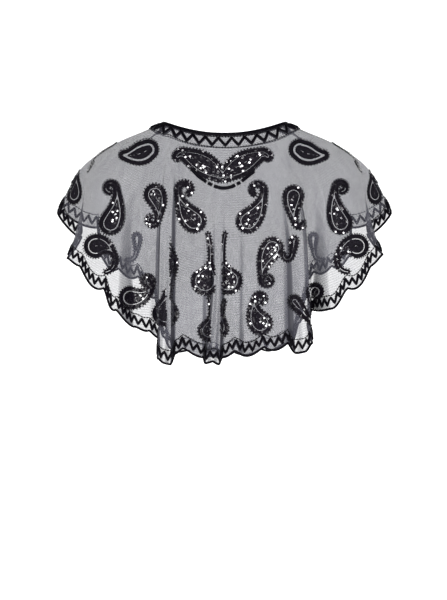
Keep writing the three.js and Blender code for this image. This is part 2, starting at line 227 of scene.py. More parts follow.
class Panel:
    """Turns places along a panel's lines, such as 3.5 halfway from line 3 to 4, into points of cloth."""

    def __init__(self, lines, creases, behind):
        _, places, out, start, hem_z, scallops = zip(*lines)
        self.count = len(lines)
        self.creases = creases
        self.behind = behind
        self.places = np.array(places, float)
        self.out = np.array(out, float)
        self.start = np.array(start, float)
        self.hem_z = np.array(hem_z, float)
        self.line_ends = self.hem_down(np.arange(self.count, dtype=float))
        self.measure_hem(scallops)

    def mixed(self, along, value, easing=smooth):
        """A value of the two lines beside a place, mixed; it is level where it meets each line."""
        i = np.clip(np.floor(along).astype(int), 0, self.count - 2)
        share = easing(along - i)
        return value(i) * (1 - share) + value(i + 1) * share

    def angle(self, along, down, section):
        """Radians from the right side round to the left."""
        wide = (section["side_x"] - NECK_HALF_WIDTH) / (WIDEST - NECK_HALF_WIDTH)

        def on_line(i):
            fixed, neck_x, hem_x, bow = np.moveaxis(self.places[i], -1, 0)
            x = neck_x + (hem_x - neck_x) * wide + bow * 4 * down * (1 - down)
            share = np.clip(np.abs(x) / section["side_x"], 0, 1)
            found = np.arccos(np.sign(x) * share ** (section["square"] / 2))
            return np.where(np.isnan(fixed), found, np.radians(fixed))

        return self.mixed(along, on_line, lambda share: share)

    def height(self, along, down):
        section = section_at(down)
        sine = np.sin(self.angle(along, down, section))
        back = sine >= 0 if self.behind else sine < 0
        middle_z = np.where(back, section["back_z"], section["front_z"])
        return section["side_z"] + (middle_z - section["side_z"]) * sine**2

    def place(self, along, down):
        """Points that lie so far along and down the cloth, and the level direction out of its section."""
        along, down = np.broadcast_arrays(np.asarray(along, float), np.asarray(down, float))
        section = section_at(down)
        angle = self.angle(along, down, section)
        cosine, sine = np.cos(angle), np.sin(angle)
        back = sine >= 0 if self.behind else sine < 0
        depth = np.where(back, section["back_y"], -section["front_y"])
        power = 2 / section["square"]
        plan = np.stack([
            section["side_x"] * np.sign(cosine) * np.abs(cosine) ** power,
            depth * np.abs(sine) ** power,
        ], -1)
        outward = np.stack([
            np.sign(cosine) * np.abs(cosine) ** (2 - power) / section["side_x"],
            np.abs(sine) ** (2 - power) / depth,
        ], -1)
        outward /= np.linalg.norm(outward, axis=-1, keepdims=True)

        def stands_out(i):
            share = np.clip((down - self.start[i]) / (self.line_ends[i] - self.start[i]), 0, 1.1)
            return self.out[i] * share**FOLD_GROWTH

        out = self.mixed(along, stands_out)
        wide = (section["side_x"] - NECK_HALF_WIDTH) / (WIDEST - NECK_HALF_WIDTH)
        for neck_x, hem_x, start, end, width, depth_out in self.creases:
            aside = (plan[..., 0] - neck_x - (hem_x - neck_x) * wide) / width
            comes = smooth(np.clip((down - start) / CREASE_FADE, 0, 1))
            goes = smooth(np.clip((end - down) / CREASE_FADE, 0, 1))
            out = out + depth_out * (comes * goes) * np.exp(-aside**2)
        plan = plan + outward * out[..., None]
        height = self.height(along, down)
        return np.concatenate([plan, height[..., None]], -1), outward

    def point(self, along, down):
        return self.place(along, down)[0]

    def hem_down(self, along):
        """The share of the length at which the cloth reaches the height of the hem there."""
        hem_z = self.mixed(along, lambda i: self.hem_z[i])
        low = np.full(along.shape, 0.3)
        high = np.full(along.shape, 1.14)
        for _ in range(24):
            middle = (low + high) / 2
            above = self.height(along, middle) > hem_z
            low = np.where(above, middle, low)
            high = np.where(above, high, middle)
        return low

    def measure_hem(self, scallops):
        """Length along the hem and number of scallops, at close places from the first line to the last."""
        places_per_line = 12
        self.hem_along = np.arange((self.count - 1) * places_per_line + 1) / places_per_line
        self.hem_length = length_along(self.point(self.hem_along, self.hem_down(self.hem_along)))
        settled = [i for i, number in enumerate(scallops) if number is not None]
        lengths = self.hem_length[np.array(settled) * places_per_line]
        self.hem_scallops = np.interp(self.hem_length, lengths, [scallops[i] for i in settled])

    def below(self, along, down, length):
        """The share of the length that lies some millimetres of cloth below another."""
        step = 0.01
        reach = np.linalg.norm(self.point(along, down + step) - self.point(along, down), axis=-1)
        return down + length * step / reach

    def edge_down(self, along):
        """The cloth's lower edge with its scallops."""
        t = np.interp(along, self.hem_along, self.hem_scallops) % 1
        return self.below(along, self.hem_down(along), SCALLOP_DROP * 4 * t * (1 - t))

    def columns(self, step):
        """Places along the panel: every line, and even steps between two lines."""
        places = []
        lengths = np.interp(np.arange(self.count), self.hem_along, self.hem_length)
        for i, length in enumerate(np.diff(lengths)):
            count = max(1, round(length / step))
            places += [i + n / count for n in range(count)]
        return np.array(places + [self.count - 1.0])

    def normal(self, along, down):
        """The direction out of the cloth."""
        along, down = np.broadcast_arrays(np.asarray(along, float), np.asarray(down, float))
        beside = self.point(np.minimum(along + 0.02, self.count - 1), down)
        beside = beside - self.point(np.maximum(along - 0.02, 0), down)
        downward = self.point(along, down + 0.004) - self.point(along, down - 0.004)
        normal = np.cross(downward, beside)
        normal /= np.linalg.norm(normal, axis=-1, keepdims=True)
        return -normal if self.behind else normal


def new_mesh(name, points, faces, edges=()):
    """A mesh object from points in millimetres."""
    mesh = bpy.data.meshes.new(name)
    mesh.from_pydata((np.asarray(points) * MM).tolist(), [list(e) for e in edges], [list(f) for f in faces])
    mesh.update()
    made = bpy.data.objects.new(name, mesh)
    bpy.context.scene.collection.objects.link(made)
    return made


def add_attribute(piece, name, kind, values):
    field = {"FLOAT": "value", "FLOAT_VECTOR": "vector"}[kind]
    attribute = piece.data.attributes.new(name, kind, "POINT")
    attribute.data.foreach_set(field, np.asarray(values, np.float32).ravel())


def add_uv(piece, uv):
    """A UV map from one pair of metres for each point."""
    corners = np.empty(len(piece.data.loops), np.int32)
    piece.data.loops.foreach_get("vertex_index", corners)
    layer = piece.data.uv_layers.new(name="cloth")
    layer.data.foreach_set("uv", np.asarray(uv, np.float32)[corners].ravel())


def set_smooth(piece):
    piece.data.polygons.foreach_set("use_smooth", np.ones(len(piece.data.polygons), bool))


def grid_faces(rows, columns, ring, turned):
    """Quads of a grid of rows of points; a ring's last column meets its first."""
    r, c = np.meshgrid(np.arange(rows - 1), np.arange(columns if ring else columns - 1), indexing="ij")
    after = (c + 1) % columns
    near, far = r * columns, (r + 1) * columns
    quads = np.stack([near + c, far + c, far + after, near + after], -1).reshape(-1, 4)
    return quads[:, ::-1] if turned else quads


class Nodes:
    """Adds nodes to a tree and joins them."""

    def __init__(self, tree):
        self.tree = tree

    def feed(self, node, inputs):
        """Joins sockets to a node's inputs, and sets those that are given a plain value."""
        for key, value in inputs.items():
            if isinstance(value, bpy.types.NodeSocket):
                self.tree.links.new(value, node.inputs[key])
            else:
                node.inputs[key].default_value = value

    def add(self, kind, inputs=(), **settings):
        node = self.tree.nodes.new(kind)
        for name, value in settings.items():
            setattr(node, name, value)
        self.feed(node, dict(inputs))
        return node

    def out(self, kind, inputs=(), **settings):
        """Adds a node and gives its first output."""
        return self.add(kind, inputs, **settings).outputs[0]

    def math(self, operation, a, b=0.0):
        return self.out("ShaderNodeMath", {0: a, 1: b}, operation=operation)

    def place(self):
        """The point of the object itself, in metres."""
        return self.add("ShaderNodeTexCoord").outputs["Object"]

    def cloud(self, place, scale, detail):
        """Soft unevenness from 0 to 1."""
        noise = self.add("ShaderNodeTexNoise", {"Vector": place, "Scale": scale, "Detail": detail})
        return noise.outputs["Fac"]

    def between(self, share, low, high):
        return self.out("ShaderNodeMapRange", {0: share, 3: low, 4: high})

    def shade(self, share, dark, light):
        """A colour between two."""
        mix = self.add("ShaderNodeMix", {"Factor": share, "A": dark, "B": light}, data_type="RGBA")
        return mix.outputs["Result"]

    def bump(self, height, strength, distance):
        bump = self.add("ShaderNodeBump", {"Height": height, "Strength": strength, "Distance": distance})
        return bump.outputs["Normal"]


def new_material(name):
    """A material with nothing in it but its output and a Principled BSDF."""
    material = bpy.data.materials.new(name)
    material.use_nodes = True
    nodes = Nodes(material.node_tree)
    shader = material.node_tree.nodes["Principled BSDF"]
    return material, nodes, shader


def add_sockets(tree, way, sockets):
    """Gives a tree its named inputs or outputs, each of a kind such as Float."""
    for name, kind in sockets.items():
        tree.interface.new_socket(name, in_out=way, socket_type="NodeSocket" + kind)


MESH_SIZE = 0.0012
RIB_SIZE = 0.004
ONE_BAND = 0.314  # a wave texture's scale for one band in a unit
NET_LEAST_COVER = 0.31
NET_MOST_COVER = 0.93
NET_THREAD_COVER = 0.38
NET_RIB_COVER = 0.07
NET_CLOUD_COVER = 0.12
# Where a fold turns the net edge-on to the front it hides more: partly the denser look of net seen edge-on,
# partly painted shade in the folds and recesses.
NET_FOLD_SHADE_COVER = 2.4
NET_FOLD_SHADE_POWER = 1.8
NET_DARK = (0.02, 0.02, 0.03, 1)
NET_LIGHT = (0.15, 0.15, 0.18, 1)
ARM_FROM = 128  # from here out to the arms the folds darken less, both in cover and in painted shade
ARM_FADE = 32
ARM_LESS = 0.55  # how much less they darken there


def net_weave_group():
    """How much of a net is thread, from its map in metres: fine mesh, faint ribs and a soft unevenness."""
    group = bpy.data.node_groups.new("net_weave", "ShaderNodeTree")
    add_sockets(group, "INPUT", {"Map": "Vector", "Mesh Size": "Float", "Rib Size": "Float"})
    add_sockets(group, "OUTPUT", {"Threads": "Float", "Ribs": "Float", "Cloud": "Float"})
    nodes = Nodes(group)
    given = nodes.add("NodeGroupInput").outputs
    fine = nodes.out("ShaderNodeTexVoronoi", {
        "Vector": given["Map"], "Scale": nodes.math("DIVIDE", 1.0, given["Mesh Size"]), "Randomness": 0.35,
    }, feature="DISTANCE_TO_EDGE", voronoi_dimensions="2D")
    threads = nodes.out("ShaderNodeMapRange", {0: fine, 1: 0.04, 2: 0.22, 3: 1.0, 4: 0.0})
    ribs = nodes.add("ShaderNodeTexWave", {
        "Vector": given["Map"], "Distortion": 1.2, "Detail": 1.0, "Detail Scale": 0.4,
        "Scale": nodes.math("MULTIPLY", nodes.math("DIVIDE", 1.0, given["Rib Size"]), ONE_BAND),
    }, bands_direction="Y").outputs["Fac"]
    cloud = nodes.cloud(given["Map"], 9.0, 2.0)
    nodes.add("NodeGroupOutput", {"Threads": threads, "Ribs": ribs, "Cloud": cloud})
    return group


def net_material():
    """Black net: it hides little where it lies flat, and more where a fold turns it edge-on; there its colour
    is also painted darker, as painted shade in the folds and recesses.
    """
    material, nodes, shader = new_material("black_net")
    cloth_map = nodes.out("ShaderNodeUVMap", uv_map="cloth")
    weave = nodes.add("ShaderNodeGroup", node_tree=net_weave_group())
    nodes.feed(weave, {"Map": cloth_map, "Mesh Size": MESH_SIZE, "Rib Size": RIB_SIZE})
    threads, ribs, cloud = (weave.outputs[name] for name in ("Threads", "Ribs", "Cloud"))
    steep_and_fold_shade = nodes.add("ShaderNodeAttribute", attribute_name="steep_and_fold_shade").outputs["Fac"]
    folded = nodes.math("POWER", steep_and_fold_shade, NET_FOLD_SHADE_POWER)
    cover = nodes.math("MULTIPLY", threads, NET_THREAD_COVER)
    for part, share in ((ribs, NET_RIB_COVER), (cloud, NET_CLOUD_COVER), (folded, NET_FOLD_SHADE_COVER)):
        cover = nodes.math("ADD", cover, nodes.math("MULTIPLY", part, share))
    cover = nodes.math("MINIMUM", nodes.math("ADD", cover, NET_LEAST_COVER), NET_MOST_COVER)
    # Painted shade: the net's colour, paler at random, is painted dark where a fold turns it edge-on to the
    # front.
    tone_and_fold_shade = nodes.math("MULTIPLY", cloud, nodes.math("SUBTRACT", 1.0, steep_and_fold_shade))
    nodes.feed(shader, {
        "Base Color": nodes.shade(tone_and_fold_shade, NET_DARK, NET_LIGHT), "Alpha": cover, "Roughness": 0.8,
        "Normal": nodes.bump(ribs, 0.25, 0.0002), "Specular IOR Level": 0.2,
    })
    return material


def make_cloth(name, panel, material):
    """The panel's net from inside the neck binding to the scalloped edge."""
    places = panel.columns(COLUMN_STEP)
    top = panel.below(places, np.zeros(len(places)), 1.0)
    share = np.linspace(0, 1, ROW_COUNT)[:, None]
    down = top + (panel.edge_down(places) - top) * share
    points, outward = panel.place(places[None, :], down)
    piece = new_mesh(name, points.reshape(-1, 3), grid_faces(*down.shape, False, panel.behind))
    normal = panel.normal(places[None, :], down)
    level = normal[..., :2] / np.maximum(np.linalg.norm(normal[..., :2], axis=-1, keepdims=True), 1e-6)
    # How far the cloth is turned edge-on to the front: it thickens the net and paints shade into the folds
    # and recesses, less out towards the arms.
    steep_and_fold_shade = (1 - np.abs((level * outward).sum(-1))) * np.abs(outward[..., 1]) ** 2
    steep_and_fold_shade *= 1 - ARM_LESS * smooth(np.clip((np.abs(points[..., 0]) - ARM_FROM) / ARM_FADE, 0, 1))
    add_attribute(piece, "steep_and_fold_shade", "FLOAT", steep_and_fold_shade)
    drop = np.linalg.norm(np.diff(points, axis=0), axis=-1)
    drop = np.concatenate([np.zeros((1, len(places))), np.cumsum(drop, axis=0)])
    length = np.broadcast_to(np.interp(places, panel.hem_along, panel.hem_length), down.shape)
    add_uv(piece, np.stack([length, drop], -1).reshape(-1, 2) * MM)
    set_smooth(piece)
    piece.data.materials.append(material)
    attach(piece, "root")
    return piece


front = Panel(FRONT_LINES, FRONT_CREASES, False)
back = Panel(BACK_LINES, BACK_CREASES, True)
black_net = net_material()
front_net = make_cloth("front_net", front, black_net)
back_net = make_cloth("back_net", back, black_net)
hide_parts("front_panel")
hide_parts("back_panel")

# The neck binding: a narrow strip of black satin, folded over the raw edge of the neck. It is stitched down
# all round, and each stitch draws it into a small pucker.
BINDING_HEIGHT = 6
BINDING_THICKNESS = 2.8
BINDING_STEP = 5.0
BINDING_SIDES = 16
PUCKER_LENGTH = 7.0  # from one stitch's pucker to the next
PUCKER_DEPTH = 0.18
BINDING_SQUARE_DOWN = 0.6  # the powers of its section: 1 is an ellipse, less is squarer
BINDING_SQUARE_OUT = 0.7
SATIN_DARK = (0.001, 0.001, 0.002, 1)
SATIN_LIGHT = (0.005, 0.004, 0.007, 1)


def all_round(step):
    """Places all round the cape, over the front from left to right and over the back from right to left."""
    return [(front, front.columns(step)[:-1]), (back, back.columns(step)[::-1][:-1])]


def round_track(stops, down_at):
    """Points and directions out of the cloth along a line all round, at the share that down_at gives."""
    points, normals = [], []
    for panel, places in stops:
        down = down_at(panel, places)
        points.append(panel.point(places, down))
        normals.append(panel.normal(places, down))
    return np.concatenate(points), np.concatenate(normals)


def neck_share(drop):
    """How far down the cloth a track lies that is so far below the neck line."""
    return lambda panel, places: panel.below(places, np.zeros(len(places)), drop)


def satin_material():
    """Black satin: a fine close twill with a soft shine."""
    material, nodes, shader = new_material("black_satin")
    place = nodes.place()
    twill = nodes.add("ShaderNodeTexWave", {"Vector": place, "Scale": 420.0, "Distortion": 0.6},
                      bands_direction="DIAGONAL").outputs["Fac"]
    cloud = nodes.cloud(place, 60.0, 3.0)
    nodes.feed(shader, {
        "Base Color": nodes.shade(cloud, SATIN_DARK, SATIN_LIGHT), "Specular IOR Level": 0.04,
        "Roughness": nodes.between(cloud, 0.38, 0.6), "Normal": nodes.bump(twill, 0.3, 0.0001),
    })
    return material


def make_binding(material):
    stops = all_round(BINDING_STEP)
    top, top_out = round_track(stops, neck_share(0))
    low, low_out = round_track(stops, neck_share(BINDING_HEIGHT))
    length = length_along(np.vstack([top, top[:1]]))
    count = round(length[-1] / PUCKER_LENGTH)
    pucker = PUCKER_DEPTH * np.cos(2 * math.pi * count * length[:-1] / length[-1])
    rows = []
    for turn in np.arange(BINDING_SIDES) / BINDING_SIDES * 2 * math.pi:
        cosine, sine = math.cos(turn), math.sin(turn)
        down_share = 0.5 - 0.5 * np.sign(cosine) * abs(cosine) ** BINDING_SQUARE_DOWN
        out_share = np.sign(sine) * abs(sine) ** BINDING_SQUARE_OUT
        middle = top + (low - top) * down_share
        normal = top_out + (low_out - top_out) * down_share
        stitched = pucker * smooth(down_share)
        rows.append(middle + normal * (out_share * (BINDING_THICKNESS / 2 - stitched))[:, None])
    points = np.concatenate(rows)
    faces = grid_faces(BINDING_SIDES + 1, len(top), True, False) % len(points)
    piece = new_mesh("neck_satin", points, faces)
    set_smooth(piece)
    piece.data.materials.append(material)
    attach(piece, "root")
    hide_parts("neck_binding")


black_satin = satin_material()
make_binding(black_satin)

# The hem's edging: the raw edge of the net, rolled and overlocked with black thread into a soft cord just
# under four millimetres thick. It follows every scallop of the front and the back.
EDGING_RADIUS = 1.9
EDGING_STEP = 3.0


def end_tree(nodes, made, finish):
    """Makes what a tree has placed real, and gives it its material."""
    real = nodes.out("GeometryNodeRealizeInstances", {"Geometry": made})
    finished = nodes.out("GeometryNodeSetMaterial", {"Geometry": real, "Material": finish})
    nodes.add("NodeGroupOutput", {"Made": finished})


def thread_tree():
    """Turns a line of edges into a round thread."""
    tree = bpy.data.node_groups.new("thread_on_line", "GeometryNodeTree")
    add_sockets(tree, "INPUT", {"Line": "Geometry", "Radius": "Float", "Sides": "Int", "Finish": "Material"})
    add_sockets(tree, "OUTPUT", {"Made": "Geometry"})
    nodes = Nodes(tree)
    given = nodes.add("NodeGroupInput").outputs
    line = nodes.out("GeometryNodeMeshToCurve", {"Mesh": given["Line"]})
    section = nodes.out("GeometryNodeCurvePrimitiveCircle", {
        "Resolution": given["Sides"], "Radius": given["Radius"],
    }, mode="RADIUS")
    swept = nodes.out("GeometryNodeCurveToMesh", {"Curve": line, "Profile Curve": section, "Fill Caps": True})
    shaded = nodes.out("GeometryNodeSetShadeSmooth", {"Geometry": swept, "Shade Smooth": True})
    end_tree(nodes, shaded, given["Finish"])
    return tree


def grown(piece, tree, values):
    """Gives a piece the mesh that a tree of Geometry Nodes makes of it, and leaves no modifier on it."""
    modifier = piece.modifiers.new("made", "NODES")
    modifier.node_group = tree
    for item in tree.interface.items_tree:
        if item.item_type == "SOCKET" and item.in_out == "INPUT" and item.name in values:
            modifier[item.identifier] = values[item.name]
    evaluated = piece.evaluated_get(bpy.context.evaluated_depsgraph_get())
    mesh = bpy.data.meshes.new_from_object(evaluated)
    piece.modifiers.remove(modifier)
    piece.data = mesh


def line_edges(runs):
    """Points and edges of several runs of points, each with True if its end meets its start."""
    points, edges, first = [], [], 0
    for run, closed in runs:
        count = len(run)
        points.append(run)
        edges += [(first + i, first + i + 1) for i in range(count - 1)]
        if closed:
            edges.append((first + count - 1, first))
        first += count
    return np.concatenate(points), edges


thread_on_line = thread_tree()


def make_thread(name, runs, radius, material, sides=6):
    points, edges = line_edges(runs)
    piece = new_mesh(name, points, [], edges)
    grown(piece, thread_on_line, {"Radius": radius * MM, "Sides": sides, "Finish": material})
    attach(piece, "root")
    return piece


def hem_edge(panel, places):
    return panel.below(places, panel.edge_down(places), EDGING_RADIUS)


edge_line, _ = round_track(all_round(EDGING_STEP), hem_edge)
hem_thread = make_thread("hem_thread", [(edge_line, True)], EDGING_RADIUS, black_satin, sides=8)
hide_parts("hem_edging")

# The embroidered borders round the neck and along the hem: bars of black cord, couched in a zigzag. At the
# neck they run between two rows of small glass beads on couched thread, and at the hem between one such row
# and the edging.
ROW_THREAD_RADIUS = 0.6
ROW_STEP = 3.0
NECK_TOP_ROW = 7.5  # below the neck line
NECK_LOW_ROW = 26.0
NECK_ZIGZAG = (9.0, 22.5)
NECK_ZIGZAG_PITCH = 21.6
NECK_BAR_RADIUS = 2.4
HEM_ROW = 19.0  # above the edge
HEM_ZIGZAG = (4.0, 16.0)
HEM_ZIGZAG_PITCH = 13.6
HEM_BAR_RADIUS = 2.1
NECK_IN_STEP = (-72, 72)  # the X as seen between which the far side's bars stand behind the near side's
HEM_IN_STEP = (-85, 105)
BAR_STEP = 2.0
LIFT = 0.6  # of a thread's middle off the net
ROUND_BEAD = {"Apart": 4.8 * MM, "Size": 2.8 * MM, "Round": True, "Tilt": 0.3, "Seed": 1}
BEAD_DARK = (0.001, 0.001, 0.002, 1)
BEAD_LIGHT = (0.006, 0.006, 0.009, 1)


def hem_share(rise):
    """How far down the cloth a track lies that is so far above the scalloped edge."""
    return lambda panel, places: panel.below(places, panel.edge_down(places), -np.asarray(rise))


def seen_across(points):
    """X of points of the cloth as they are seen, brought to the middle of the cape."""
    return points[:, 0] * -EYE[1] / (points[:, 1] * MM - EYE[1])


def bars_in(length, pitch, odd):
    """How many bars of a zigzag fit a length, odd or even as asked."""
    return 2 * max(1 - odd, round((length / (pitch / 2) - odd) / 2)) + odd


def zigzag_track(near, far, pitch, share_at, in_step):
    """Bars to and fro between two heights all round, as a closed line.

    Between the two X of in_step the far side's bars stand behind the near side's.
    """
    rulers = []
    for panel in (front, back):
        places = panel.columns(1.0)
        middle = panel.point(places, share_at((near + far) / 2)(panel, places))
        rulers.append((panel, places, length_along(middle), np.maximum.accumulate(seen_across(middle))))
    (_, _, near_length, near_seen), (_, _, far_length, far_seen) = rulers
    bars = bars_in(near_length[-1], pitch, 0)
    near_turns = np.arange(bars + 1) / bars * near_length[-1]
    turn_x = np.interp(near_turns, near_length, near_seen)
    shared = np.flatnonzero((turn_x > in_step[0]) & (turn_x < in_step[1]))
    shared_turns = np.interp(turn_x[shared], far_seen, far_length)
    first = shared_turns[0] / bars_in(shared_turns[0], pitch, int(shared[0] % 2))
    rest = far_length[-1] - shared_turns[-1]
    last = rest / bars_in(rest, pitch, int((bars - shared[-1]) % 2))
    far_turns = np.concatenate([
        np.arange(0, shared_turns[0] - first / 2, first), shared_turns,
        far_length[-1] - np.arange(0, rest - last / 2, last)[::-1],
    ])
    runs = []
    for (panel, places, length, _), turns in zip(rulers, (near_turns, far_turns)):
        steps_per_bar = max(3, round(math.hypot(pitch / 2, far - near) / BAR_STEP))
        at_turn = np.arange((len(turns) - 1) * steps_per_bar) / steps_per_bar
        place = np.interp(np.interp(at_turn, np.arange(len(turns)), turns), length, places)
        height = near + (far - near) * np.abs((at_turn % 2) - 1)
        down = share_at(height)(panel, place)
        runs.append(panel.point(place, down) + panel.normal(place, down) * LIFT)
    return np.concatenate([runs[0], runs[1][::-1]])


def bead_tree():
    """Sets a bead or a sequin at even steps along lines, turned to the line's own way out, with a tilt."""
    tree = bpy.data.node_groups.new("beads_on_line", "GeometryNodeTree")
    add_sockets(tree, "INPUT", {
        "Line": "Geometry", "Apart": "Float", "Size": "Float", "Height": "Float", "Sides": "Int",
        "Round": "Bool", "Tilt": "Float", "Drift": "Float", "Drift Size": "Float", "Seed": "Int",
        "Finish": "Material",
    })
    add_sockets(tree, "OUTPUT", {"Made": "Geometry"})
    nodes = Nodes(tree)
    given = nodes.add("NodeGroupInput").outputs
    line = nodes.out("GeometryNodeMeshToCurve", {"Mesh": given["Line"]})
    stops = nodes.out("GeometryNodeResampleCurve", {"Curve": line, "Length": given["Apart"]}, mode="LENGTH")
    way_out = nodes.out("GeometryNodeInputNamedAttribute", {"Name": "out"}, data_type="FLOAT_VECTOR")
    turned = nodes.out("FunctionNodeAlignRotationToVector", {"Vector": way_out}, axis="Z")
    tilt = given["Tilt"]
    other_way = nodes.math("MULTIPLY", tilt, -1.0)
    least = nodes.out("ShaderNodeCombineXYZ", {"X": other_way, "Y": other_way})
    most = nodes.out("ShaderNodeCombineXYZ", {"X": tilt, "Y": tilt, "Z": math.pi})
    loose = nodes.out("FunctionNodeRandomValue", {"Min": least, "Max": most, "Seed": given["Seed"]},
                      data_type="FLOAT_VECTOR")
    place = nodes.out("GeometryNodeInputPosition")
    drifting = nodes.add("ShaderNodeTexNoise", {"Vector": place, "Scale": given["Drift Size"], "Detail": 1.0})
    centred = nodes.out("ShaderNodeVectorMath", {0: drifting.outputs["Color"], 1: (0.5, 0.5, 0.5)},
                        operation="SUBTRACT")
    drift = nodes.out("ShaderNodeVectorMath", {0: centred, "Scale": given["Drift"]}, operation="SCALE")
    both = nodes.out("ShaderNodeVectorMath", {0: loose, 1: drift}, operation="ADD")
    tilted = nodes.out("FunctionNodeRotateRotation", {
        "Rotation": turned, "Rotate By": nodes.out("FunctionNodeEulerToRotation", {"Euler": both}),
    }, rotation_space="LOCAL")
    radius = nodes.math("MULTIPLY", given["Size"], 0.5)
    ball = nodes.out("GeometryNodeMeshIcoSphere", {"Radius": radius, "Subdivisions": 1})
    smooth_ball = nodes.out("GeometryNodeSetShadeSmooth", {"Geometry": ball, "Shade Smooth": True})
    disc = nodes.out("GeometryNodeMeshCylinder", {
        "Vertices": given["Sides"], "Radius": radius, "Depth": given["Height"],
    }, fill_type="NGON")
    bead = nodes.out("GeometryNodeSwitch", {"Switch": given["Round"], "False": disc, "True": smooth_ball},
                     input_type="GEOMETRY")
    sewn = nodes.out("GeometryNodeInstanceOnPoints", {"Points": stops, "Instance": bead, "Rotation": tilted})
    end_tree(nodes, sewn, given["Finish"])
    return tree


def bead_material():
    """Black glass beads: smooth and shiny, no two quite alike."""
    material, nodes, shader = new_material("black_glass_bead")
    cloud = nodes.cloud(nodes.place(), 500.0, 1.0)
    nodes.feed(shader, {
        "Base Color": nodes.shade(cloud, BEAD_DARK, BEAD_LIGHT), "Roughness": nodes.between(cloud, 0.1, 0.35),
        "Specular IOR Level": 0.25,
    })
    return material


beads_on_line = bead_tree()
black_bead = bead_material()


def make_beads(name, runs, outs, values, material):
    """One piece of beads or sequins along runs of points, with the way out at every point."""
    points, edges = line_edges(runs)
    piece = new_mesh(name, points, [], edges)
    add_attribute(piece, "out", "FLOAT_VECTOR", outs)
    grown(piece, beads_on_line, {**values, "Finish": material})
    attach(piece, "root")


bead_rows = {
    "neck_top_row": neck_share(NECK_TOP_ROW), "neck_low_row": neck_share(NECK_LOW_ROW),
    "hem_row": hem_share(HEM_ROW),
}
for name, down_at in bead_rows.items():
    track, way_out = round_track(all_round(ROW_STEP), down_at)
    track = track + way_out * LIFT
    make_thread(name + "_thread", [(track, True)], ROW_THREAD_RADIUS, black_satin, sides=5)
    make_beads(name + "_beads", [(track, True)], way_out, ROUND_BEAD, black_bead)
neck_bars = zigzag_track(*NECK_ZIGZAG, NECK_ZIGZAG_PITCH, neck_share, NECK_IN_STEP)
make_thread("neck_zigzag", [(neck_bars, True)], NECK_BAR_RADIUS, black_satin)
hem_bars = zigzag_track(*HEM_ZIGZAG, HEM_ZIGZAG_PITCH, hem_share, HEM_IN_STEP)
make_thread("hem_zigzag", [(hem_bars, True)], HEM_BAR_RADIUS, black_satin)

# The paisleys: drops with a curled tail, worked in black on the net, on the back as on the front. Each has a
# broad border of close black thread with two rows of sequins on it and loop beads all round outside, then a
# hair of bare net, then a row of sequins round a filling of flat sequins that lap each other.

# Each is drawn as it is seen from the front at the middle of the cape, and laid on the cloth along the line
# of sight. flip turns a drawn shape left to right. x and z are the middle of the round end and width its
# width. The body leaves it at heading, in degrees from +X round to +Z, and bends by bend over length. The
# tail, tail wide, then curls by turn on the radius curl. keep is the range of X that shows, where a flute
# hides the rest.
BEYOND = 999  # an X past every edge of the cape
EVERYWHERE = (-BEYOND, BEYOND)
LEFT_OF_FLUTE = (-BEYOND, -15)
RIGHT_OF_FLUTE = (-4.5, BEYOND)
PAISLEYS = [
    # flip, x, z, width, length, heading, bend, curl, turn, tail, keep
    (False, -183, -163, 38, 60, 62, 40, 9.5, 250, 12, EVERYWHERE),
    (True, 187, -162, 38, 60, 62, 40, 9.5, 250, 12, EVERYWHERE),
    (False, -112, -117, 36, 44, -65, -40, 9, -220, 12, EVERYWHERE),
    (True, 111, -119, 34, 46, -80, -30, 8, -150, 12, EVERYWHERE),
    (False, -49.5, -159, 40, 56, 138, -42, 12, -240, 13, EVERYWHERE),
    (True, 38, -160, 39, 56, 138, -42, 11.5, -235, 13, EVERYWHERE),
    (False, -31, -256, 46, 36, 66, 22, 190, 15, 9, LEFT_OF_FLUTE),
    (True, 5.5, -255, 46, 36, 66, 22, 190, 15, 9, RIGHT_OF_FLUTE),
    (False, -25, -336, 36, 28, 75, 15, 120, 16, 9, (-BEYOND, -22)),
    (True, -8, -333, 30, 28, 98, 0, 120, 10, 9, (-7, BEYOND)),
    (False, -91, -227, 33, 55, -88, 0, 0, 0, 7, (-88, BEYOND)),
    (False, -91, -227, 33, 40, 90, 0, 0, 0, 7, (-88, BEYOND)),
    (False, -95, -308, 43, 34, 88, 5, 0, 0, 8, (-BEYOND, -94)),
    (False, -95, -308, 43, 34, 88, 5, 0, 0, 8, (-86, BEYOND)),
    (False, -207, -200, 39, 36, 12, -80, 24, -100, 11, EVERYWHERE),
    (True, 213, -200, 39, 38, 10, -80, 22, -110, 11, EVERYWHERE),
    (False, 77, -203, 36, 56, -128, 42, 8.5, 240, 12, EVERYWHERE),
    (False, 58, -324, 39, 44, 130, -60, 9, -215, 12, EVERYWHERE),
    (False, 112, -191, 16, 26, -92, -15, 8, -180, 10, EVERYWHERE),
    (False, 146, -273, 29, 24, -120, 40, 0, 0, 9, EVERYWHERE),
    (False, 113, -289, 22, 50, -52, 0, 0, 0, 9, EVERYWHERE),
    (False, -152, -283, 37, 48, -8, 88, 9, 230, 12, EVERYWHERE),
]
# The two horned wings under the neck and the leaf on each shoulder, which are broad halfway too: a row like
# those above, how much broader than an even taper, and the width of the bare line inside the border.
BROAD_PAISLEYS = [
    ((False, -8, -85, 26, 65, 144, 12, 12, 75, 23, (-BEYOND, -3.6)), 15, 0.8),
    ((True, 2, -85, 26, 65, 144, 12, 12, 75, 23, (-2.8, BEYOND)), 15, 0.8),
    ((False, -123, -45, 35, 40, 212, -40, 0, 0, 18, EVERYWHERE), 9, 3.0),
    ((True, 121, -45, 35, 40, 212, -40, 0, 0, 18, EVERYWHERE), 9, 3.0),
]
FAR_PAISLEYS = [
    (False, -141, -186, 18, 28, -85, -20, 14, -90, 9, EVERYWHERE),
    (True, 143, -186, 18, 28, -85, -20, 14, -90, 9, EVERYWHERE),
]
